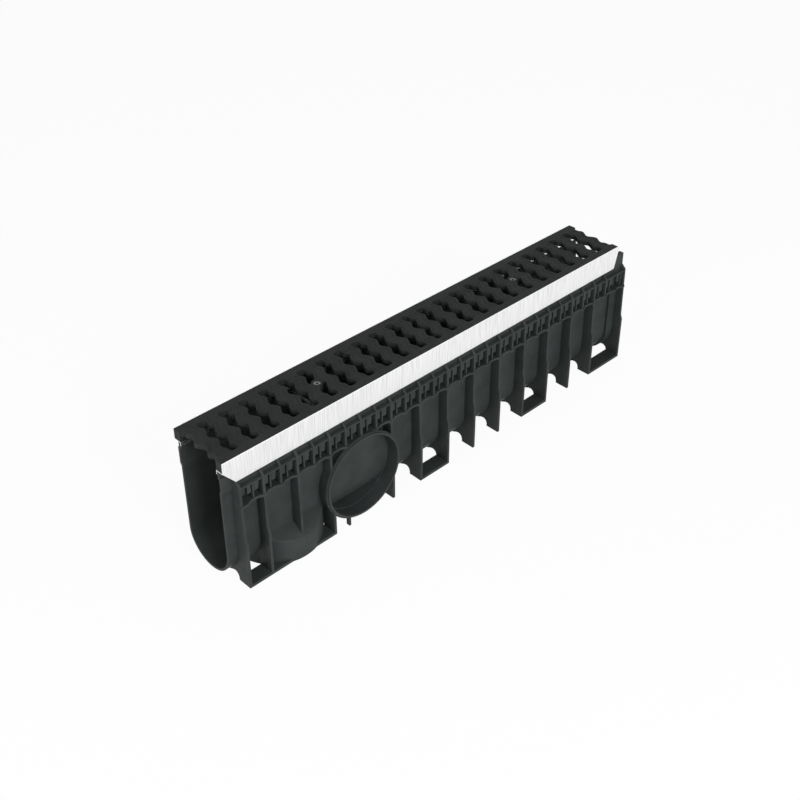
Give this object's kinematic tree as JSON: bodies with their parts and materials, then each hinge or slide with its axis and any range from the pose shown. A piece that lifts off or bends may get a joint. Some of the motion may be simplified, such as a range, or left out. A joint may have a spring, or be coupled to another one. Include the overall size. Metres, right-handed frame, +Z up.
{
  "type": "drainage channel unit with grates",
  "caption": "Line drainage channel unit: ribbed plastic trough with side and base outlet stubs, folded steel edge rails and bolted grates with wavy slots.",
  "frame": {"origin": "centre of the unit's footprint, on the ground under the feet", "axes": "+X along the channel from the tongue end to the socket end, +Y across it, +Z up"},
  "size_m": [1.02, 0.1684, 0.271],
  "materials": {
    "body_plastic": "moulded, satin matt",
    "grate_plastic": "fibre filled, matt",
    "rail_steel": "bright galvanised, finely brushed",
    "lock_steel": "plated"
  },
  "bodies": {
    "root": {"channel_body": "body_plastic", "edge_rail_near": "rail_steel", "edge_rail_far": "rail_steel", "grate_1": "grate_plastic", "grate_2": "grate_plastic", "lock_bar_1": "lock_steel", "lock_bar_2": "lock_steel", "lock_bolt_1": "lock_steel", "lock_bolt_2": "lock_steel", "lock_nut_1": "lock_steel", "lock_nut_2": "lock_steel"}
  },
  "joints": []
}
